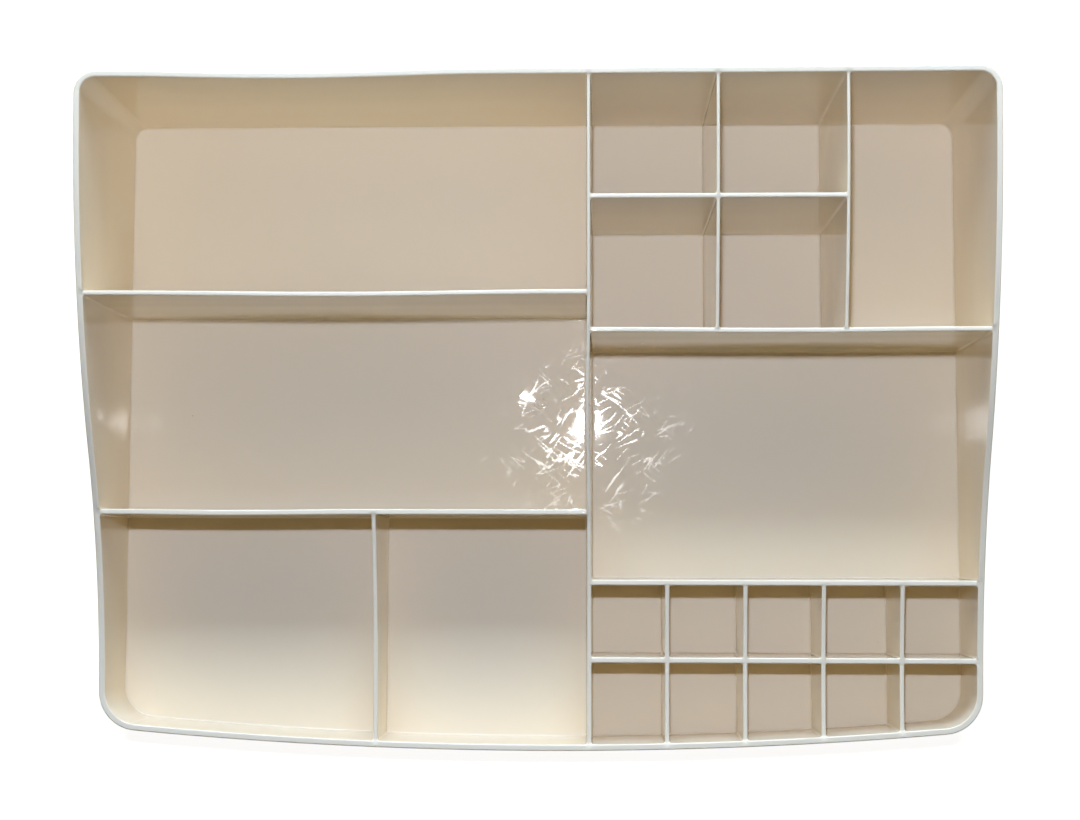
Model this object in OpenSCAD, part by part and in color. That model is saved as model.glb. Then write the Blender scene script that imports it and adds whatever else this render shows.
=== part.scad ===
// Compartment tray for a desk: a high back, swept side walls, a low bowed front and
// twenty compartments. Millimetres. +Z is up, +Y is the high back, and the origin is on
// the table, under the middle of the tray.

/* [Overall size] */
// Width over the rim, left to right
body_w = 350; // [300:1:430]
// Depth over the rim, back to the middle of the front
body_d = 260; // [225:1:320]
// Height of the rim at the back
back_h = 85; // [65:1:105]
// Height of the rim at the front
front_h = 33; // [20:1:50]
// How far the middle of the front stands out past its corners
front_bow = 8.2; // [2:0.1:16]
// From the inside of the back wall to the steepest point of the rim
sweep_middle = 140; // [100:1:160]

/* [Walls and floor] */
// Thickness of the outer walls
wall_t = 2.5; // [1.5:0.1:4]
// Thickness of the floor
floor_t = 2.5; // [1.5:0.1:4]
// Thickness of a divider at its foot
divider_t = 2.4; // [1.6:0.1:3.5]
// Lean of every upright face, in degrees
draft = 0.3; // [0:0.1:0.6]
// Inside radius of the two back corners, at the floor
back_corner_r = 5.5; // [2:0.5:12]
// Inside radius of the two front corners, at the floor
front_corner_r = 13; // [4:0.5:20]

/* [Left compartments, clear sizes at the floor] */
// Depth of the long compartment along the back wall
back_tray_d = 79.4; // [50:0.1:100]
// Depth of the two front compartments, along the side wall
front_tray_d = 81.7; // [50:0.1:90]
// Width of the front compartment beside the centre divider
inner_front_tray_w = 82.2; // [50:0.1:105]

/* [Right compartments, clear sizes at the floor] */
// Width of a square cell
square_cell_w = 46.3; // [35:0.1:56]
// Depth of the square cells against the back wall
square_cell_back_d = 44.1; // [30:0.1:54]
// Depth of the square cells behind the memo compartment
square_cell_front_d = 46.9; // [30:0.1:57]
// Width of a small cell
small_cell_w = 28.3; // [23.5:0.1:34]
// Width of the small cells beside the right wall
end_cell_w = 27.7; // [20:0.1:40]
// Depth of a small cell in the row behind the front one
small_cell_d = 28.2; // [20:0.1:36]
// Depth of the front row of small cells, along the side wall
front_cell_d = 23.6; // [18:0.1:30]

/* [Hidden] */
ivory = [0.90, 0.88, 0.80];
// a cutter reaches this far past what it cuts
over = 1;
// the steps of a circle, and of the much larger circles of the rim and the front
$fn = 96;
fine_fn = 1440;

// how far an upright face has leaned at height z
function lean(z) = (z - floor_t) * tan(draft);

// inside faces of the outer walls at the floor
side_x = body_w / 2 - wall_t - lean(back_h);
back_y = body_d / 2 - wall_t - lean(back_h);
bow_tip_y = -(body_d / 2 - wall_t - lean(front_h));
front_y = bow_tip_y + front_bow;

// the arc of the bowed front, and the corners tangent to it
bow_r = (side_x * side_x + front_bow * front_bow) / (2 * front_bow);
bow_y = bow_tip_y + bow_r;
front_corner_x = side_x - front_corner_r;
front_corner_y = bow_y - sqrt(pow(bow_r - front_corner_r, 2) - pow(front_corner_x, 2));
bow_angle = asin(front_corner_x / (bow_r - front_corner_r));
back_corner_x = side_x - back_corner_r;
back_corner_y = back_y - back_corner_r;

// the rim is one arc down from the back and one arc out to the front, tangent where
// they meet
sweep_run = back_y - front_y;
sweep_drop = back_h - front_h;
sweep_angle = 2 * atan(sweep_drop / sweep_run);
back_arc_r = sweep_middle / sin(sweep_angle);
front_arc_r = (sweep_run - sweep_middle) / sin(sweep_angle);
steep_y = back_y - sweep_middle;
steep_z = back_h - sweep_middle * tan(sweep_angle / 2);

// height of the rim at depth y
function rim_z(y) =
    y > back_y ? back_h
    : y > steep_y ? back_h - back_arc_r + sqrt(pow(back_arc_r, 2) - pow(back_y - y, 2))
    : y > front_y
        ? front_h + front_arc_r - sqrt(pow(front_arc_r, 2) - pow(y - front_y, 2))
    : front_h;

// middle lines of the dividers that run left to right
half_t = divider_t / 2;
back_tray_y = back_y - back_tray_d - half_t;
front_tray_y = front_y + front_tray_d + half_t;
square_rail_y = back_y - square_cell_back_d - half_t;
memo_back_y = square_rail_y - square_cell_front_d - divider_t;
small_rail_y = front_y + front_cell_d + half_t;
memo_front_y = small_rail_y + small_cell_d + divider_t;

// middle lines of the dividers that run back to front
cell_pitch = small_cell_w + divider_t;
centre_x = side_x - end_cell_w - 4 * cell_pitch - half_t;
square_x = centre_x + square_cell_w + divider_t;
tall_slot_x = square_x + square_cell_w + divider_t;
short_x = centre_x - inner_front_tray_w - divider_t;
function small_cell_x(k) = centre_x + k * cell_pitch;

// raw dividers end this far inside the outer walls, before the walls are cut away
root = wall_t / 2;
back_root_y = back_y + root;
wall_root_x = side_x + root;
function front_root_y(x) = bow_y - sqrt(bow_r * bow_r - x * x) - root;

// extrudes an outline drawn in X and Z along the depth
module lengthwise(y0, y1) {
    translate([0, y1, 0])
        rotate([90, 0, 0])
            linear_extrude(y1 - y0)
                children();
}

// extrudes an outline drawn in Y and Z along the width
module crosswise(x0, x1) {
    translate([x0, 0, 0])
        rotate([90, 0, 90])
            linear_extrude(x1 - x0)
                children();
}

// section of an outer wall whose inside face stands at r at the floor
module wall_section(r, top = back_h) {
    polygon([
        [r, 0],
        [r, floor_t],
        [r + lean(top), top],
        [r + lean(top) + wall_t, top],
        [r + lean(0) + wall_t, 0]
    ]);
}

// section of a divider, thinner towards its top
module divider_section(middle, top) {
    polygon([
        [middle - half_t, floor_t],
        [middle + half_t, floor_t],
        [middle + half_t - lean(top), top],
        [middle - half_t + lean(top), top]
    ]);
}

// everything below the swept rim, seen from the side
module under_rim_outline() {
    far_y = body_d / 2 + over;
    difference() {
        union() {
            polygon([
                [-far_y, -over],
                [far_y, -over],
                [far_y, back_h],
                [back_y, back_h],
                [steep_y, steep_z],
                [front_y, front_h],
                [-far_y, front_h]
            ]);
            rim_arc(back_y, back_h, -1, back_arc_r);
        }
        rim_arc(front_y, front_h, 1, front_arc_r);
    }
}

// the part of a rim circle between its level end and the steepest point
module rim_arc(y, z, side, r) {
    corner = r * tan(sweep_angle / 2);
    intersection() {
        translate([y, z + side * r])
            circle(r, $fn = fine_fn);
        polygon([
            [y, z + side * r],
            [y, z],
            [y + side * corner, z],
            [steep_y, steep_z]
        ]);
    }
}

module under_rim() {
    crosswise(-body_w / 2 - over, body_w / 2 + over)
        under_rim_outline();
}

// a divider that runs back to front, its top following the rim
module long_divider(x, y0, y1) {
    intersection() {
        under_rim();
        lengthwise(y0, y1)
            divider_section(x, back_h);
    }
}

// a divider that runs left to right, level along its top and just under the rim
module cross_divider(y, x0, x1) {
    crosswise(x0, x1)
        divider_section(y, rim_z(y - half_t));
}

// the space that a left-to-right divider would fill if it went on upwards from z0
module cross_cut(y, z0) {
    intersection() {
        crosswise(-body_w / 2, body_w / 2)
            divider_section(y, back_h + over);
        translate([-body_w / 2, y - divider_t, z0])
            cube([body_w, 2 * divider_t, back_h]);
    }
}

// the space of a back-to-front divider up to z1, which the divider across it leaves free
module long_cut(x, z1) {
    lengthwise(-body_d / 2, body_d / 2)
        divider_section(x, z1);
}

// height at which two crossing dividers lap, half way up
function lap_z(y) = floor_t + (rim_z(y) - floor_t) / 2;

module floor_outline() {
    intersection() {
        translate([0, bow_y])
            circle(bow_r, $fn = fine_fn);
        translate([-front_corner_x, -body_d])
            square([2 * front_corner_x, body_d + front_corner_y]);
    }
    translate([-side_x, front_corner_y])
        square([2 * side_x, back_corner_y - front_corner_y]);
    translate([-back_corner_x, front_corner_y])
        square([2 * back_corner_x, back_y - front_corner_y]);
    for (side = [-1, 1]) {
        translate([side * back_corner_x, back_corner_y])
            circle(back_corner_r);
        translate([side * front_corner_x, front_corner_y])
            circle(front_corner_r);
    }
}

module floor_panel() {
    color(ivory)
        linear_extrude(floor_t)
            floor_outline();
}

// the straight part of the back wall, up to any height
module straight_back(top) {
    for (side = [0, 1])
        mirror([side, 0, 0])
            translate([back_corner_x, back_corner_y, 0])
                crosswise(-back_corner_x, 0)
                    wall_section(back_corner_r, top);
}

// the bowed front wall, up to any height
module bowed_front(top) {
    translate([0, bow_y, 0])
        rotate([0, 0, -90 - bow_angle])
            rotate_extrude(angle = 2 * bow_angle, $fn = fine_fn)
                wall_section(bow_r, top);
}

module back_wall() {
    color(ivory) {
        straight_back(back_h);
        for (side = [0, 1])
            mirror([side, 0, 0])
                translate([back_corner_x, back_corner_y, 0])
                    rotate_extrude(angle = 90)
                        wall_section(back_corner_r);
    }
}

module front_wall() {
    color(ivory)
        bowed_front(front_h);
}

// the side wall goes round the front corner to meet the bowed front
module right_wall() {
    color(ivory)
        intersection() {
            under_rim();
            translate([front_corner_x, front_corner_y, 0]) {
                lengthwise(0, back_corner_y - front_corner_y)
                    wall_section(front_corner_r);
                mirror([0, 1, 0])
                    rotate_extrude(angle = 90 - bow_angle)
                        wall_section(front_corner_r);
            }
        }
}

module left_wall() {
    mirror([1, 0, 0])
        right_wall();
}

module centre_divider() {
    color(ivory)
        difference() {
            long_divider(centre_x, front_root_y(centre_x), back_root_y);
            straight_back(back_h + over);
            bowed_front(front_h + over);
        }
}

// a divider from the left wall to the centre divider
module left_cross_divider(y) {
    color(ivory)
        difference() {
            cross_divider(y, -wall_root_x, centre_x);
            left_wall();
            long_cut(centre_x, back_h);
        }
}

module back_tray_divider() {
    left_cross_divider(back_tray_y);
}

module front_tray_divider() {
    left_cross_divider(front_tray_y);
}

module short_divider() {
    color(ivory)
        difference() {
            long_divider(short_x, front_root_y(short_x), front_tray_y);
            bowed_front(front_h + over);
            cross_cut(front_tray_y, 0);
        }
}

// a divider from the centre divider to the right wall
module right_cross_divider(y) {
    color(ivory)
        difference() {
            cross_divider(y, centre_x, wall_root_x);
            right_wall();
            long_cut(centre_x, back_h);
        }
}

module memo_back_divider() {
    right_cross_divider(memo_back_y);
}

module memo_front_divider() {
    right_cross_divider(memo_front_y);
}

module square_cell_rail() {
    color(ivory)
        difference() {
            cross_divider(square_rail_y, centre_x, tall_slot_x);
            long_cut(centre_x, back_h);
            long_cut(tall_slot_x, back_h);
            long_cut(square_x, lap_z(square_rail_y));
        }
}

module square_cell_divider() {
    color(ivory)
        difference() {
            long_divider(square_x, memo_back_y, back_root_y);
            straight_back(back_h + over);
            cross_cut(memo_back_y, 0);
            cross_cut(square_rail_y, lap_z(square_rail_y));
        }
}

module tall_slot_divider() {
    color(ivory)
        difference() {
            long_divider(tall_slot_x, memo_back_y, back_root_y);
            straight_back(back_h + over);
            cross_cut(memo_back_y, 0);
        }
}

module small_cell_rail() {
    difference() {
        right_cross_divider(small_rail_y);
        for (k = [1 : 4])
            long_cut(small_cell_x(k), lap_z(small_rail_y));
    }
}

module small_cell_divider(k) {
    x = small_cell_x(k);
    color(ivory)
        difference() {
            long_divider(x, front_root_y(x), memo_front_y);
            bowed_front(front_h + over);
            cross_cut(memo_front_y, 0);
            cross_cut(small_rail_y, lap_z(small_rail_y));
        }
}

floor_panel();
back_wall();
front_wall();
left_wall();
right_wall();
centre_divider();
back_tray_divider();
front_tray_divider();
short_divider();
square_cell_rail();
square_cell_divider();
tall_slot_divider();
memo_back_divider();
memo_front_divider();
small_cell_rail();
for (k = [1 : 4])
    small_cell_divider(k);
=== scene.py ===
import math

import bmesh
import bpy
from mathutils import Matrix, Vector


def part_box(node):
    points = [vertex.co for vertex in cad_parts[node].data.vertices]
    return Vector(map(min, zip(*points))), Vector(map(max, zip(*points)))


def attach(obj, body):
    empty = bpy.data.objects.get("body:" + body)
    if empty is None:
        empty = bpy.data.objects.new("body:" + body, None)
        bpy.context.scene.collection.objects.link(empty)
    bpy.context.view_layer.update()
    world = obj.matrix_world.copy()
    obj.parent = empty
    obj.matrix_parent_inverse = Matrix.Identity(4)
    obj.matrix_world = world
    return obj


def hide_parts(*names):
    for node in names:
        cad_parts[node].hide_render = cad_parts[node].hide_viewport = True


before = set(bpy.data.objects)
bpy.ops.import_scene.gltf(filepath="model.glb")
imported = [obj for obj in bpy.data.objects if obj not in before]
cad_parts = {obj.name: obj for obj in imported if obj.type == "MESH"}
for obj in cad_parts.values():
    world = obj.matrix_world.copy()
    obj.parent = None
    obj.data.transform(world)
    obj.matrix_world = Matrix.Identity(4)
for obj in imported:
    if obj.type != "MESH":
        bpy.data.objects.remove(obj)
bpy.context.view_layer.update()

mm = 0.001
print("frame loaded:", len(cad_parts), "solids")


def boxMm(node):
    low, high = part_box(node)
    return low / mm, high / mm


# The shell, in millimetres. The frame gives the rest of its sizes.
shell = {
    "draft": math.radians(0.3),  # lean of every upright face
    "frontBow": 8.2,             # how far the middle of the front stands out
    "frontCornerR": 13.0,        # inside, at the floor
    "sweepMiddle": 140.0,        # inside of the back wall to the steepest point of the rim
    "rimThin": 0.12,             # what each side of the rim loses at its highest
    "bottomR": 1.0,              # rounding round the underside
    "bottomLap": 0.6,            # narrow ring on the underside, inside that rounding
    "bendFull": 4.5,             # how far behind the front ridge everything follows its bow
    "bendEnd": 3.5,              # how far before the small cells' rail the bow has died out
    "cornerSteps": 12,
}

floorLow, floorHigh = boxMm("floor_panel")
backLow, backHigh = boxMm("back_wall")
frontH = boxMm("front_wall")[1].z
rightX = boxMm("right_wall")[1].x

floorZ = floorHigh.z
sideX = floorHigh.x
backY = floorHigh.y
backH = backHigh.z


def lean(z):
    return (z - floorZ) * math.tan(shell["draft"])


wallT = rightX - sideX - lean(backH)
halfWall = wallT / 2
bowTipY = floorLow.y
frontY = bowTipY + shell["frontBow"]
bowR = (sideX ** 2 + shell["frontBow"] ** 2) / (2 * shell["frontBow"])
bowY = bowTipY + bowR
backCornerR = backY - backLow.y
backCorner = (sideX - backCornerR, backLow.y)
frontCornerR = shell["frontCornerR"]
frontCornerX = sideX - frontCornerR
frontCorner = (frontCornerX, bowY - math.sqrt((bowR - frontCornerR) ** 2 - frontCornerX ** 2))
bowAngle = math.asin(frontCornerX / (bowR - frontCornerR))

sweepRun = backY - frontY
sweepAngle = 2 * math.atan((backH - frontH) / sweepRun)
backArcR = shell["sweepMiddle"] / math.sin(sweepAngle)
frontArcR = (sweepRun - shell["sweepMiddle"]) / math.sin(sweepAngle)


def rimZ(y):
    if y > backY:
        return backH
    if y > backY - shell["sweepMiddle"]:
        return backH - backArcR + math.sqrt(backArcR ** 2 - (backY - y) ** 2)
    if y > frontY:
        return frontH + frontArcR - math.sqrt(frontArcR ** 2 - (y - frontY) ** 2)
    return frontH


# The dividers, in millimetres.
dividers = {
    "drop": 0.8,          # how far their tops stay under the rim
    "crossExtra": 0.08,   # added to each side at the top of one that runs left to right
    "longExtra": -0.15,   # and of one that runs back to front
    "reach": 2.6,         # how far a meeting of two ridges spreads along them
    "junctionR": 0.9,     # upright inside corner where two of them meet
    "edgeR": 0.55,        # rounding along both edges of a flat top
    "footR": 0.8,         # rounding where they stand on the floor
    "floorLap": 0.4,      # narrow ring on the floor, inside that rounding
    "step": 5.0,          # longest stretch between points along a ridge
    "turnStep": 15,       # degrees between points round an upright inside corner
    "topSteps": 6,
    "faceSteps": 5,
    "footSteps": 5,
}
divLow, divHigh = boxMm("centre_divider")
halfFoot = (divHigh.x - divLow.x) / 2
reach = dividers["reach"]


def middleOf(node, axis):
    low, high = boxMm(node)
    return (low[axis] + high[axis]) / 2


# Every ridge is the middle line along the top of a wall or divider: which way it runs and
# where it stands. The outer ones move out with the lean of their wall.
ridges = {
    "left": {"runs": "y", "outer": -1},
    "right": {"runs": "y", "outer": 1},
    "back": {"runs": "x", "outer": 1},
    "front": {"runs": "x", "outer": -1},
}
smallCellDividers = ["small_cell_divider_%d" % k for k in range(1, 5)]
longDividers = ["centre_divider", "short_divider", "square_cell_divider", "tall_slot_divider"]
longDividers += smallCellDividers
for node in longDividers:
    ridges[node] = {"runs": "y", "at": middleOf(node, 0), "outer": 0}
crossDividers = ["back_tray_divider", "front_tray_divider", "square_cell_rail",
                 "memo_back_divider", "memo_front_divider", "small_cell_rail"]
for node in crossDividers:
    ridges[node] = {"runs": "x", "at": middleOf(node, 1), "outer": 0}

# left, right, front and back ridge of each compartment
compartments = [
    ("left", "centre_divider", "back_tray_divider", "back"),
    ("left", "centre_divider", "front_tray_divider", "back_tray_divider"),
    ("left", "short_divider", "front", "front_tray_divider"),
    ("short_divider", "centre_divider", "front", "front_tray_divider"),
    ("centre_divider", "square_cell_divider", "square_cell_rail", "back"),
    ("square_cell_divider", "tall_slot_divider", "square_cell_rail", "back"),
    ("centre_divider", "square_cell_divider", "memo_back_divider", "square_cell_rail"),
    ("square_cell_divider", "tall_slot_divider", "memo_back_divider", "square_cell_rail"),
    ("tall_slot_divider", "right", "memo_back_divider", "back"),
    ("centre_divider", "right", "memo_front_divider", "memo_back_divider"),
]
smallCellSides = ["centre_divider"] + smallCellDividers + ["right"]
for nearSide, farSide in zip(smallCellSides, smallCellSides[1:]):
    compartments.append((nearSide, farSide, "small_cell_rail", "memo_front_divider"))
    compartments.append((nearSide, farSide, "front", "small_cell_rail"))

# The front is laid out straight and then bent to its bow, between two depths.
frontRidgeR = frontCornerR + lean(frontH) + halfWall
straightFrontY = frontCorner[1] - frontRidgeR * math.cos(bowAngle)
frontTangentX = frontCorner[0] + frontRidgeR * math.sin(bowAngle)
bendFrom = straightFrontY + shell["bendFull"]
bendTo = ridges["small_cell_rail"]["at"] - shell["bendEnd"]


def bendFront(x, y):
    ridgeR = bowR + lean(frontH) + halfWall
    bow = straightFrontY - bowY + math.sqrt(ridgeR ** 2 - min(abs(x), frontTangentX) ** 2)
    share = min(1.0, max(0.0, (bendTo - y) / (bendTo - bendFrom)))
    return y - max(0.0, bow) * share


def ridgePoint(name, s):
    ridge = ridges[name]
    if ridge["runs"] == "y":
        if ridge["outer"]:
            return (ridge["outer"] * (sideX + lean(rimZ(s)) + halfWall), s)
        return (ridge["at"], s)
    if name == "back":
        return (s, backY + lean(backH) + halfWall)
    if name == "front":
        return (s, straightFrontY)
    return (s, ridge["at"])


def crossing(longName, crossName):
    y = ridgePoint(crossName, 0)[1]
    return (ridgePoint(longName, y)[0], y)


def easeInOut(t):
    t = min(1.0, max(0.0, t))
    return t * t * (3 - 2 * t)


def ridgeTop(x, y, outer):
    bent = bendFront(x, y)
    if outer:
        return rimZ(bent)
    fromSide = sideX + lean(rimZ(y)) + halfWall - abs(x)
    fromBack = backY + lean(backH) + halfWall - y
    gap = min(fromSide, fromBack, y - straightFrontY)
    return rimZ(bent) - dividers["drop"] * easeInOut(gap / reach)


def topHalf(name, top):
    if ridges[name]["outer"]:
        return halfWall - shell["rimThin"] * (top - frontH) / (backH - frontH)
    extra = dividers["longExtra"] if ridges[name]["runs"] == "y" else dividers["crossExtra"]
    return halfFoot - lean(top) + extra


# (distance from the ridge, height) over a flat top and round its edge
def topProfile(half, top):
    edgeR = dividers["edgeR"]
    rings = []
    for i in range(dividers["topSteps"]):
        turn = math.pi / 2 * i / (dividers["topSteps"] - 1)
        rings.append((half - edgeR * (1 - math.sin(turn)), top - edgeR * (1 - math.cos(turn))))
    return rings


# the same from the middle of a ridge down one side of it and on to the floor
def sideProfile(name, top):
    r = topHalf(name, top)
    foot = halfWall + lean(top) if ridges[name]["outer"] else halfFoot
    footR = dividers["footR"]
    rings = [(0.0, top)] + topProfile(r, top)
    faceTop, faceFoot = top - dividers["edgeR"], floorZ + footR
    for i in range(1, dividers["faceSteps"]):
        t = i / dividers["faceSteps"]
        rings.append((r + (foot - r) * t, faceTop + (faceFoot - faceTop) * t))
    for i in range(dividers["footSteps"] + 1):
        turn = math.pi / 2 * i / dividers["footSteps"]
        rings.append((foot + footR * (1 - math.cos(turn)), floorZ + footR * (1 - math.sin(turn))))
    rings.append((foot + footR + dividers["floorLap"], floorZ))
    return rings


# where other ridges meet each ridge, and its points along the way
stops = {name: set() for name in ridges}
for left, right, front, back in compartments:
    for longName in (left, right):
        for crossName in (front, back):
            if ridges[longName]["outer"] and ridges[crossName]["outer"]:
                continue
            x, y = crossing(longName, crossName)
            stops[longName].add(round(y, 6))
            stops[crossName].add(round(x, 6))
arcEnds = {
    "left": (frontCorner[1], backCorner[1]),
    "right": (frontCorner[1], backCorner[1]),
    "back": (-backCorner[0], backCorner[0]),
    "front": (-frontTangentX, frontTangentX),
}


def ridgeSamples(name):
    marks = [(s, reach) for s in sorted(stops[name])]
    if name in arcEnds:
        marks = [(arcEnds[name][0], 0.0)] + marks + [(arcEnds[name][1], 0.0)]
    found = []
    for s, spread in marks:
        if spread:
            near = [spread * (1 - math.tan(math.radians(a)))
                    for a in range(0, 45, dividers["turnStep"])]
            found += [s - d for d in near] + [s] + [s + d for d in near]
    for (a, spreadA), (b, spreadB) in zip(marks, marks[1:]):
        start, end = a + spreadA, b - spreadB
        count = max(1, math.ceil((end - start) / dividers["step"]))
        found += [start + (end - start) * i / count for i in range(1, count)]
    return sorted(found)


samples = {name: ridgeSamples(name) for name in ridges}


# one station: the point of every ring at one place along a ridge
def edgeStation(name, inward, s):
    x, y = ridgePoint(name, s)
    top = ridgeTop(x, y, ridges[name]["outer"])
    rings = [(x + inward[0] * d, y + inward[1] * d, z) for d, z in sideProfile(name, top)]
    rings[0] = (x, y, top)
    return rings


# the stations round the upright inside corner between two ridges that meet
def junctionStations(point, before, after, inBefore, inAfter):
    r = dividers["junctionR"]
    near = []
    for name, inward, other in ((before, inBefore, inAfter), (after, inAfter, inBefore)):
        x, y = point[0] + other[0] * reach, point[1] + other[1] * reach
        near.append(sideProfile(name, ridgeTop(x, y, ridges[name]["outer"])))
    stations = []
    for degrees in range(0, 91, dividers["turnStep"]):
        turn = math.radians(degrees)
        if degrees <= 45:
            along, inward, onRidge = 1 - math.tan(turn), inAfter, before
        else:
            along, inward, onRidge = 1 - math.tan(math.pi / 2 - turn), inBefore, after
        x, y = point[0] + inward[0] * reach * along, point[1] + inward[1] * reach * along
        outer = ridges[onRidge]["outer"] or (degrees == 45 and ridges[after]["outer"])
        rings = [(x, y, ridgeTop(x, y, outer))]
        for (dBefore, zBefore), (dAfter, zAfter) in zip(near[0][1:], near[1][1:]):
            inA = dAfter + r * (1 - math.sin(turn))
            inB = dBefore + r * (1 - math.cos(turn))
            x = point[0] + inAfter[0] * inA + inBefore[0] * inB
            y = point[1] + inAfter[1] * inA + inBefore[1] * inB
            z = zBefore * math.cos(turn) ** 2 + zAfter * math.sin(turn) ** 2
            rings.append((x, y, z))
        stations.append(rings)
    return stations


# the stations round one of the four corners of the tray
def arcStations(name, centre, radius, start, end):
    stations = []
    for i in range(shell["cornerSteps"] + 1):
        turn = start + (end - start) * i / shell["cornerSteps"]
        c, s = math.cos(turn), math.sin(turn)
        top = rimZ(centre[1] + (radius + halfWall) * s)
        ridgeR = radius + lean(top) + halfWall
        stations.append([(centre[0] + c * (ridgeR - d), centre[1] + s * (ridgeR - d), z)
                         for d, z in sideProfile(name, top)])
    return stations


def cornerStations(longName, crossName, before, after, inBefore, inAfter):
    outerLong, outerCross = ridges[longName]["outer"], ridges[crossName]["outer"]
    if not (outerLong and outerCross):
        return junctionStations(crossing(longName, crossName), before, after, inBefore, inAfter)
    quarter = math.pi / 2
    if crossName == "back":
        start = 0 if outerLong > 0 else quarter
        centre = (outerLong * backCorner[0], backCorner[1])
        return arcStations(longName, centre, backCornerR, start, start + quarter)
    centre = (outerLong * frontCorner[0], frontCorner[1])
    if outerLong > 0:
        return arcStations(longName, centre, frontCornerR, bowAngle - quarter, 0)
    return arcStations(longName, centre, frontCornerR, math.pi, 3 * quarter - bowAngle)


# where the stations between two corners of a compartment stand along a ridge
def between(name, crossNames):
    ends = []
    for other in crossNames:
        if ridges[name]["outer"] and ridges[other]["outer"]:
            low = other in ("left", "front")
            ends.append(arcEnds[name][0 if low else 1])
        else:
            x, y = crossing(*((name, other) if ridges[name]["runs"] == "y" else (other, name)))
            inside = reach if other == crossNames[0] else -reach
            ends.append((y if ridges[name]["runs"] == "y" else x) + inside)
    slack = 1e-4
    return [s for s in samples[name] if ends[0] + slack < s < ends[1] - slack]


# all the stations round one compartment, anticlockwise from its front left corner
def compartmentStations(left, right, front, back):
    inFront, inBack, inLeft, inRight = (0, 1), (0, -1), (1, 0), (-1, 0)
    stations = cornerStations(left, front, left, front, inLeft, inFront)
    stations += [edgeStation(front, inFront, s) for s in between(front, (left, right))]
    stations += cornerStations(right, front, front, right, inFront, inRight)
    stations += [edgeStation(right, inRight, s) for s in between(right, (front, back))]
    stations += cornerStations(right, back, right, back, inRight, inBack)
    stations += [edgeStation(back, inBack, s) for s in reversed(between(back, (left, right)))]
    stations += cornerStations(left, back, back, left, inBack, inLeft)
    stations += [edgeStation(left, inLeft, s) for s in reversed(between(left, (front, back)))]
    return stations


# which way the outside of the wall faces at a point of the outer ridge
def outwardAt(x, y):
    slack = 1e-6
    side = 1 if x > 0 else -1
    fromX = abs(x) - frontCorner[0]
    if y > backCorner[1] and abs(x) > backCorner[0]:
        away = Vector((x - side * backCorner[0], y - backCorner[1]))
    elif y > backCorner[1]:
        away = Vector((0, 1))
    elif y < frontCorner[1] and fromX > (frontCorner[1] - y) * math.tan(bowAngle) - slack:
        away = Vector((x - side * frontCorner[0], y - frontCorner[1]))
    elif y < frontCorner[1]:
        away = Vector((x, y - bowY))
    else:
        away = Vector((side, 0))
    return away.normalized()


# (distance out from the ridge, height) down the outside
def outsideProfile(top):
    r = topHalf("back", top)
    bottomR = shell["bottomR"]
    foot = halfWall - top * math.tan(shell["draft"])
    rings = topProfile(r, top)
    faceTop = top - dividers["edgeR"]
    for i in range(1, dividers["faceSteps"] + 1):
        t = i / dividers["faceSteps"]
        rings.append((r + (foot - r) * t, faceTop + (bottomR - faceTop) * t))
    for i in range(1, dividers["footSteps"] + 1):
        turn = math.pi / 2 * i / dividers["footSteps"]
        rings.append((foot - bottomR * (1 - math.cos(turn)), bottomR * (1 - math.sin(turn))))
    rings.append((foot - bottomR - shell["bottomLap"], 0.0))
    return rings


# Thin walls never come out of a mould dead straight. Each bulge moves the upper part of
# one wall sideways: which ridge, the stretch it covers, how far it moves.
bulges = [
    {"ridge": "back", "start": -170.0, "end": -15.0, "far": -1.3},
    {"ridge": "back_tray_divider", "start": -168.0, "end": 18.0, "far": -0.8},
    {"ridge": "memo_back_divider", "start": 22.0, "end": 170.0, "far": -0.45},
    {"ridge": "front_tray_divider", "start": -170.0, "end": -70.0, "far": -0.4},
    {"ridge": "centre_divider", "start": -36.0, "end": 46.0, "far": -0.6},
]
bulgeReach = 4.0  # a bulge is full this far from its ridge, and gone at twice that
bulgeRise = 1.5   # how late it sets in on the way up


def bulged(x, y, z):
    up = max(0.0, (z - floorZ) / (rimZ(y) - floorZ))
    for bulge in bulges:
        ridge = ridges[bulge["ridge"]]
        across, along = (y, x) if ridge["runs"] == "x" else (x, y)
        line = ridge.get("at", backY + halfWall)
        near = 1 - easeInOut((abs(across - line) - bulgeReach) / bulgeReach)
        t = (along - bulge["start"]) / (bulge["end"] - bulge["start"])
        if near > 0 and 0 < t < 1:
            move = bulge["far"] * near * math.sin(math.pi * t) ** 2 * up ** bulgeRise
            if ridge["runs"] == "x":
                y += move
            else:
                x += move
    return (x, y, z)


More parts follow.
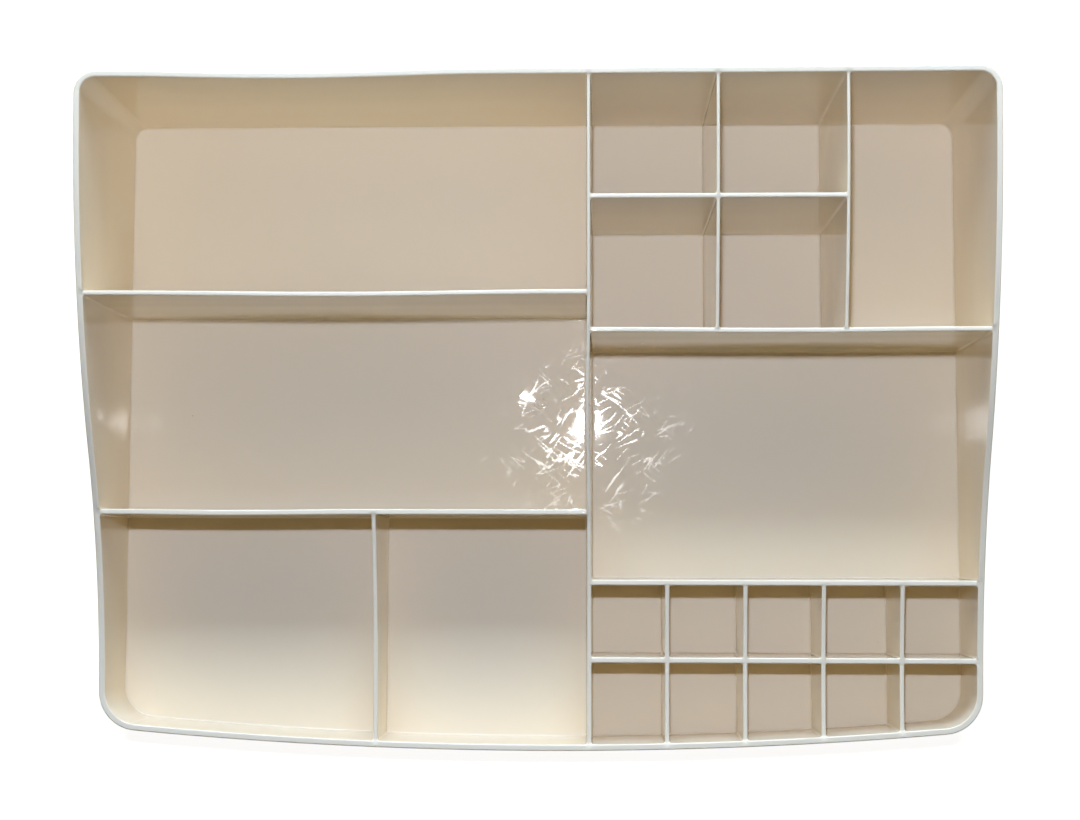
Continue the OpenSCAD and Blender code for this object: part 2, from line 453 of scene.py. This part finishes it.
# Each compartment is a loop of stations closed by its floor, and neighbours share the
# points along the middle of their ridge, so the whole is one closed skin.
def buildTray():
    bm = bmesh.new()
    ridgeVerts = {}

    def ridgeVert(point):
        key = (round(point[0], 3), round(point[1], 3))
        if key not in ridgeVerts:
            ridgeVerts[key] = bm.verts.new(point)
        return ridgeVerts[key]

    for names in compartments:
        loops = []
        for station in compartmentStations(*names):
            bent = [(x, bendFront(x, y), z) for x, y, z in station]
            loops.append([ridgeVert(bent[0])] + [bm.verts.new(p) for p in bent[1:]])
        for near, far in zip(loops, loops[1:] + loops[:1]):
            for k in range(len(near) - 1):
                bm.faces.new((near[k], far[k], far[k + 1], near[k + 1]))
        bm.faces.new([loop[-1] for loop in loops])

    # the outside hangs from the open edge of what stands so far
    following = {}
    for edge in bm.edges:
        if len(edge.link_faces) == 1:
            loop = edge.link_loops[0]
            following[loop.vert] = loop.link_loop_next.vert
    start = next(iter(following))
    outline = [start]
    while following[outline[-1]] is not start:
        outline.append(following[outline[-1]])
    print("outer ridge:", len(outline), "of", len(following), "points")
    columns = []
    for vert in outline:
        x, y, top = vert.co
        away = outwardAt(x, y)
        columns.append([vert] + [bm.verts.new((x + away.x * d, y + away.y * d, z))
                                 for d, z in outsideProfile(top)])
    for near, far in zip(columns, columns[1:] + columns[:1]):
        for k in range(len(near) - 1):
            bm.faces.new((far[k], near[k], near[k + 1], far[k + 1]))
    bm.faces.new([column[-1] for column in reversed(columns)])

    for vert in bm.verts:
        vert.co = Vector(bulged(*vert.co)) * mm
    openEdges = [e for e in bm.edges if len(e.link_faces) != 2]
    print("tray:", len(bm.verts), "points,", len(bm.faces), "faces,", len(openEdges), "open edges")
    return bm


def newPiece(name, bm, material):
    mesh = bpy.data.meshes.new(name)
    for face in bm.faces:
        face.smooth = True
    bm.to_mesh(mesh)
    bm.free()
    mesh.materials.append(material)
    piece = bpy.data.objects.new(name, mesh)
    bpy.context.scene.collection.objects.link(piece)
    return piece


# Shader nodes. A Socket lets shader maths be written as Python expressions.
class Socket:
    def __init__(self, tree, link):
        self.tree = tree
        self.link = link

    def maths(self, operation, *values):
        return addNode(self.tree, "ShaderNodeMath", {"operation": operation},
                       dict(enumerate(values)))

    def __add__(self, other):
        return self.maths("ADD", self, other)

    def __radd__(self, other):
        return self.maths("ADD", other, self)

    def __sub__(self, other):
        return self.maths("SUBTRACT", self, other)

    def __rsub__(self, other):
        return self.maths("SUBTRACT", other, self)

    def __mul__(self, other):
        return self.maths("MULTIPLY", self, other)

    def __rmul__(self, other):
        return self.maths("MULTIPLY", other, self)

    def __truediv__(self, other):
        return self.maths("DIVIDE", self, other)

    def __pow__(self, other):
        return self.maths("POWER", self, other)


def addNode(tree, kind, settings=None, values=None, output=0):
    node = tree.nodes.new(kind)
    for name, value in (settings or {}).items():
        if name == "stops":
            ramp = node.color_ramp
            for i, (position, colour) in enumerate(value):
                stop = ramp.elements[i] if i < 2 else ramp.elements.new(position)
                stop.position = position
                stop.color = colour
        else:
            setattr(node, name, value)
    for name, value in (values or {}).items():
        if isinstance(value, Socket):
            tree.links.new(value.link, node.inputs[name])
        else:
            node.inputs[name].default_value = value
    return Socket(tree, node.outputs[output]) if node.outputs else node


def grey(value):
    return (value, value, value, 1)


# Glossy ivory plastic with the fine wear of use. Lengths are in metres.
ivory = {
    "colour": (0.96, 0.79, 0.51, 1),
    "cloudColour": (0.94, 0.77, 0.48, 1),  # faint uneven patches
    "cloudScale": 9,
    "cloudDetail": 4,
    "cloudRamp": ((0.35, 0), (0.7, 1)),
    "cloudShare": 0.5,
    "speckColour": (0.20, 0.13, 0.07, 1),  # where dust has caught
    "speckScale": 40,
    "speckRamp": ((0.010, 1), (0.016, 0)),
    "speckShare": 0.35,
    "ior": 1.5,
    "specular": 0.5,
    "roughness": 0.022,
    "clouding": 0.01,     # what the patches add to the roughness
    "scuffing": 0.22,     # and the scuffs
    "waveSize": 0.035,    # slow unevenness left by the mould
    "waveDepth": 0.00005,
    "rippleSize": 0.032,  # level ripples up the walls, from the cutting of the mould
    "rippleDepth": 0.0003,
    "rippleStretch": (0.1, 0.1, 1),
    "drawnIn": 0.014,     # slope of the walls, drawn in by shrinkage as they rise
    "scratchScale": 40,
    "scratchStretch": 6.0,
    "scratchWidth": 0.024,
    "scratchTurns": (0.6, 2.2, 2.75),
    "scratchShift": 0.7,  # from one set to the next, so that they don't repeat
    "cutScale": 120,      # what cuts the scratches short
    "cutStretch": 1.5,
    "cutShift": 0.4,
    "cutRamp": ((0.50, 0), (0.60, 1)),
    "wornPlace": (0.022, -0.012, 0.003),  # the most worn part of the floor
    "wornR": 0.075,
    "wornRamp": ((0.3, 1), (1.0, 0.15)),
    "patchScale": 30,     # patches with more and with fewer scratches
    "patchDetail": 3,
    "patchShift": 0.31,
    "patchRamp": ((0.35, 0.3), (0.55, 1)),
    "gateDish": 0.00025,  # depth of the dip in the floor round the gate
    "gateDishR": 0.016,
    "gateDishRamp": ((0.15, 0), (0.55, 0.85), (1.0, 1)),
}


def ivoryPlastic():
    material = bpy.data.materials.new("ivoryPlastic")
    material.use_nodes = True
    tree = material.node_tree
    tree.nodes.clear()
    place = addNode(tree, "ShaderNodeTexCoord", output=3)  # in the tray's own frame

    def noiseAt(scale, detail=2.0, turn=0.0, stretch=1.0, shift=0.0):
        moved = addNode(tree, "ShaderNodeMapping", None, {
            "Vector": place, "Rotation": (0, 0, turn), "Location": (shift, shift, 0)})
        drawn = addNode(tree, "ShaderNodeMapping", None, {
            "Vector": moved, "Scale": (1, stretch, 1)})
        return addNode(tree, "ShaderNodeTexNoise", None,
                       {"Vector": drawn, "Scale": scale, "Detail": detail})

    def ramp(value, stops):
        return addNode(tree, "ShaderNodeValToRGB",
                       {"stops": [(at, grey(level)) for at, level in stops]}, {"Fac": value})

    def blend(share, first, second):
        return addNode(tree, "ShaderNodeMix", {"data_type": "RGBA"},
                       {0: share, 6: first, 7: second}, 2)

    clouds = ramp(noiseAt(ivory["cloudScale"], ivory["cloudDetail"]), ivory["cloudRamp"])
    base = blend(clouds * ivory["cloudShare"], ivory["colour"], ivory["cloudColour"])
    specks = addNode(tree, "ShaderNodeTexVoronoi", None,
                     {"Vector": place, "Scale": ivory["speckScale"]})
    speck = ramp(specks, ivory["speckRamp"])
    base = blend(speck * ivory["speckShare"], base, ivory["speckColour"])

    # scuffs: thin lines of one drawn-out noise, cut short by another, a set for each way
    scratches = None
    for i, turn in enumerate(ivory["scratchTurns"]):
        drawnOut = noiseAt(ivory["scratchScale"], 1.0, turn, ivory["scratchStretch"],
                           i * ivory["scratchShift"])
        lines = addNode(tree, "ShaderNodeMath", {"operation": "ABSOLUTE"}, {0: drawnOut - 0.5})
        thin = ramp(lines, ((0.0, 1), (ivory["scratchWidth"], 0)))
        cut = ramp(noiseAt(ivory["cutScale"], 0.0, turn, ivory["cutStretch"],
                           i * ivory["cutShift"]), ivory["cutRamp"])
        oneSet = thin * cut
        scratches = oneSet if scratches is None else scratches + oneSet
    fromWorn = addNode(tree, "ShaderNodeVectorMath", {"operation": "DISTANCE"},
                       {0: place, 1: ivory["wornPlace"]}, 1)
    often = ramp(fromWorn / ivory["wornR"], ivory["wornRamp"])
    patches = noiseAt(ivory["patchScale"], ivory["patchDetail"], shift=ivory["patchShift"])
    worn = scratches * often * ramp(patches, ivory["patchRamp"])

    roughness = ivory["roughness"] + ivory["clouding"] * clouds + ivory["scuffing"] * worn
    # the floor dips round the gate, and every face is a little uneven
    fromGate = addNode(tree, "ShaderNodeVectorMath", {"operation": "DISTANCE"},
                       {0: place, 1: gatePlace}, 1)
    dish = ramp(fromGate / ivory["gateDishR"], ivory["gateDishRamp"])
    height = ivory["waveDepth"] * noiseAt(1 / ivory["waveSize"], 1.0)
    level = addNode(tree, "ShaderNodeMapping", None,
                    {"Vector": place, "Scale": ivory["rippleStretch"]})
    ripples = addNode(tree, "ShaderNodeTexNoise", None,
                      {"Vector": level, "Scale": 1 / ivory["rippleSize"], "Detail": 1.0})
    up = addNode(tree, "ShaderNodeSeparateXYZ", None, {"Vector": place}, output=2)
    height = height + ivory["gateDish"] * dish + ivory["rippleDepth"] * ripples
    height = height + ivory["drawnIn"] * up
    wavy = addNode(tree, "ShaderNodeBump", None, {"Height": height, "Distance": 1.0})
    surface = addNode(tree, "ShaderNodeBsdfPrincipled", None, {
        "Base Color": base,
        "Roughness": roughness,
        "Normal": wavy,
        "IOR": ivory["ior"],
        "Specular IOR Level": ivory["specular"],
    })
    addNode(tree, "ShaderNodeOutputMaterial", None, {"Surface": surface})
    return material


# Marks of moulding on the floors, in millimetres: where each stands, and how far its rings
# lie from the middle and over the floor.
gateMark = {"name": "gate_mark", "place": (0.0, 10.0),
            "rings": [(0, 0.12), (0.6, 0.1), (0.9, 0.02), (1.9, 0.02), (2.2, 0.13),
                      (2.6, 0.13), (2.9, -0.2)]}
ejectorMark = {"name": "ejector_mark", "place": (-40.0, 87.7),
               "rings": [(0, 0.01), (2.9, 0.01), (3.15, 0.03), (3.4, 0.03), (3.65, -0.2)]}
gatePlace = (gateMark["place"][0] * mm, gateMark["place"][1] * mm, floorZ * mm)


def buildMark(mark):
    bm = bmesh.new()
    steps = 48
    turns = [2 * math.pi * i / steps for i in range(steps)]
    x, y = mark["place"]
    middle = bm.verts.new((x * mm, y * mm, (floorZ + mark["rings"][0][1]) * mm))
    under = bm.verts.new((x * mm, y * mm, (floorZ + mark["rings"][-1][1]) * mm))
    circles = []
    for r, over in mark["rings"][1:]:
        circles.append([bm.verts.new(((x + r * math.cos(a)) * mm, (y + r * math.sin(a)) * mm,
                                      (floorZ + over) * mm)) for a in turns])
    for i in range(steps):
        j = (i + 1) % steps
        bm.faces.new((middle, circles[0][i], circles[0][j]))
        bm.faces.new((under, circles[-1][j], circles[-1][i]))
        for inner, outer in zip(circles, circles[1:]):
            bm.faces.new((inner[i], outer[i], outer[j], inner[j]))
    return bm


print("building the tray")
ivoryMaterial = ivoryPlastic()
tray = newPiece("moulded_tray", buildTray(), ivoryMaterial)
smoothing = tray.modifiers.new("weighted normals", "WEIGHTED_NORMAL")
smoothing.keep_sharp = True
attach(tray, "root")
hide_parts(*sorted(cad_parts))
for mark in (gateMark, ejectorMark):
    piece = newPiece(mark["name"], buildMark(mark), ivoryMaterial)
    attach(piece, "root")

# The white floor under the tray, in metres.
floorSet = {
    "size": 8.0,
    "drop": 0.0002,  # below the tray's underside
    "colour": (0.6, 0.5, 0.3, 1),
    "roughness": 0.9,
    "glow": 0.93,    # only seen, so that it doesn't light the walls
}


def mattSurface(colour, roughness):
    return {"Base Color": colour, "Roughness": roughness, "Specular IOR Level": 0.0}


def studioFloor():
    bm = bmesh.new()
    half = floorSet["size"] / 2
    corners = ((-half, -half), (half, -half), (half, half), (-half, half))
    bm.faces.new([bm.verts.new((x, y, 0)) for x, y in corners])
    material = bpy.data.materials.new("studioFloor")
    material.use_nodes = True
    tree = material.node_tree
    tree.nodes.clear()
    matt = mattSurface(floorSet["colour"], floorSet["roughness"])
    glowing = {"Emission Color": grey(1), "Emission Strength": floorSet["glow"]}
    plain = addNode(tree, "ShaderNodeBsdfPrincipled", None, matt)
    bright = addNode(tree, "ShaderNodeBsdfPrincipled", None, {**matt, **glowing})
    seen = addNode(tree, "ShaderNodeLightPath")
    both = addNode(tree, "ShaderNodeMixShader", None, {0: seen, 1: plain, 2: bright})
    addNode(tree, "ShaderNodeOutputMaterial", None, {"Surface": both})
    return newPiece("studio_floor", bm, material)


floorPiece = studioFloor()
floorPiece.location.z = -floorSet["drop"]

# A dark gauze stands close behind the tray and holds back the window's light on its back.
# It stays lower than the back wall, and the camera doesn't see it. In metres.
gauzeSet = {
    "halfWidth": 0.26,
    "behind": 0.15,
    "height": 0.082,
    "colour": grey(0.02),
    "roughness": 0.9,
    "weave": 0.5,  # share of the light that it stops
}


def studioGauze():
    bm = bmesh.new()
    half, high = gauzeSet["halfWidth"], gauzeSet["height"]
    corners = ((-half, 0), (half, 0), (half, high), (-half, high))
    bm.faces.new([bm.verts.new((x, gauzeSet["behind"], z)) for x, z in corners])
    material = bpy.data.materials.new("studioGauze")
    material.use_nodes = True
    tree = material.node_tree
    tree.nodes.clear()
    clear = addNode(tree, "ShaderNodeBsdfTransparent")
    dark = addNode(tree, "ShaderNodeBsdfPrincipled", None,
                   mattSurface(gauzeSet["colour"], gauzeSet["roughness"]))
    both = addNode(tree, "ShaderNodeMixShader", None, {0: gauzeSet["weave"], 1: clear, 2: dark})
    addNode(tree, "ShaderNodeOutputMaterial", None, {"Surface": both})
    return newPiece("studio_gauze", bm, material)


gauzePiece = studioGauze()
gauzePiece.visible_camera = False
gauzePiece.visible_glossy = False

# The lights, in metres and watts.
lights = {
    "white": (1, 1, 1),
    "lampPlace": (0.0145, 0.054, 0.746),
    "lampSize": 0.02,
    "lampPower": 3.5,
    "lampColour": (0.51, 0.63, 1.0),
    "glintSize": 0.012,  # of the lamp as reflections show it
    "glintPower": 1.4,
    "distance": 1.7,     # of the window and of the pale surroundings
    "windowHeight": math.radians(30),  # over the horizon, behind the tray
    "windowSize": 1.0,
    "windowPower": 54.0,
    "windowColour": (0.51, 0.67, 1.0),
    "shineHeight": math.radians(45),   # pale surroundings, only seen in reflections
    "shineSize": 1.2,
    "shinePower": 5.0,
}


def areaLight(name, place, target, size, power, colour, diffuse=True, glossy=True):
    data = bpy.data.lights.new(name, "AREA")
    data.shape = "SQUARE"
    data.size = size
    data.energy = power
    data.color = colour
    light = bpy.data.objects.new(name, data)
    light.location = place
    light.visible_camera = False
    light.visible_diffuse = diffuse
    light.visible_glossy = glossy
    light.rotation_euler = (Vector(target) - Vector(place)).to_track_quat("-Z", "Y").to_euler()
    bpy.context.scene.collection.objects.link(light)


# a place over the horizon, turned clockwise from straight behind the tray
def around(turn, height):
    run = lights["distance"] * math.cos(height)
    return (run * math.sin(turn), run * math.cos(turn), lights["distance"] * math.sin(height))


lampPlace = lights["lampPlace"]
lampAim = (lampPlace[0], lampPlace[1], 0)
trayMiddle = (0, 0, 0)
areaLight("lamp", lampPlace, lampAim, lights["lampSize"], lights["lampPower"],
          lights["lampColour"], glossy=False)
areaLight("glint", lampPlace, lampAim, lights["glintSize"], lights["glintPower"],
          lights["white"], diffuse=False)
areaLight("window", around(0, lights["windowHeight"]), trayMiddle, lights["windowSize"],
          lights["windowPower"], lights["windowColour"])
for name, degrees in (("right", 90), ("front", 180), ("left", 270)):
    areaLight("shine_" + name, around(math.radians(degrees), lights["shineHeight"]), trayMiddle,
              lights["shineSize"], lights["shinePower"], lights["white"], diffuse=False)

# An even, weak light from all round, with a pale backdrop behind the floor's edge.
surround = {
    "ambient": 0.04,
    "ambientColour": (1.0, 0.8, 0.4, 1),
    "backdrop": 0.9,  # only seen
}


def studioWorld():
    world = bpy.data.worlds.new("studioWorld")
    world.use_nodes = True
    tree = world.node_tree
    tree.nodes.clear()
    weak = addNode(tree, "ShaderNodeBackground", None,
                   {"Color": surround["ambientColour"], "Strength": surround["ambient"]})
    pale = addNode(tree, "ShaderNodeBackground", None,
                   {"Color": grey(1), "Strength": surround["backdrop"]})
    seen = addNode(tree, "ShaderNodeLightPath")
    both = addNode(tree, "ShaderNodeMixShader", None, {0: seen, 1: weak, 2: pale})
    addNode(tree, "ShaderNodeOutputWorld", None, {"Surface": both})
    bpy.context.scene.world = world


studioWorld()
bpy.context.scene.view_settings.view_transform = "Standard"

# The camera looks almost straight down, from over the middle of the tray.
cameraSet = {
    "place": (0.0236, -0.0510, 0.7461),
    "turn": (0.0780, 0.0319, 0.0019),
    "lens": 59.69,
    "sensor": 36,
}
cameraData = bpy.data.cameras.new("camera")
cameraData.lens = cameraSet["lens"]
cameraData.sensor_width = cameraSet["sensor"]
camera = bpy.data.objects.new("camera", cameraData)
camera.location = cameraSet["place"]
camera.rotation_euler = cameraSet["turn"]
bpy.context.scene.collection.objects.link(camera)
bpy.context.scene.camera = camera
print("studio ready")
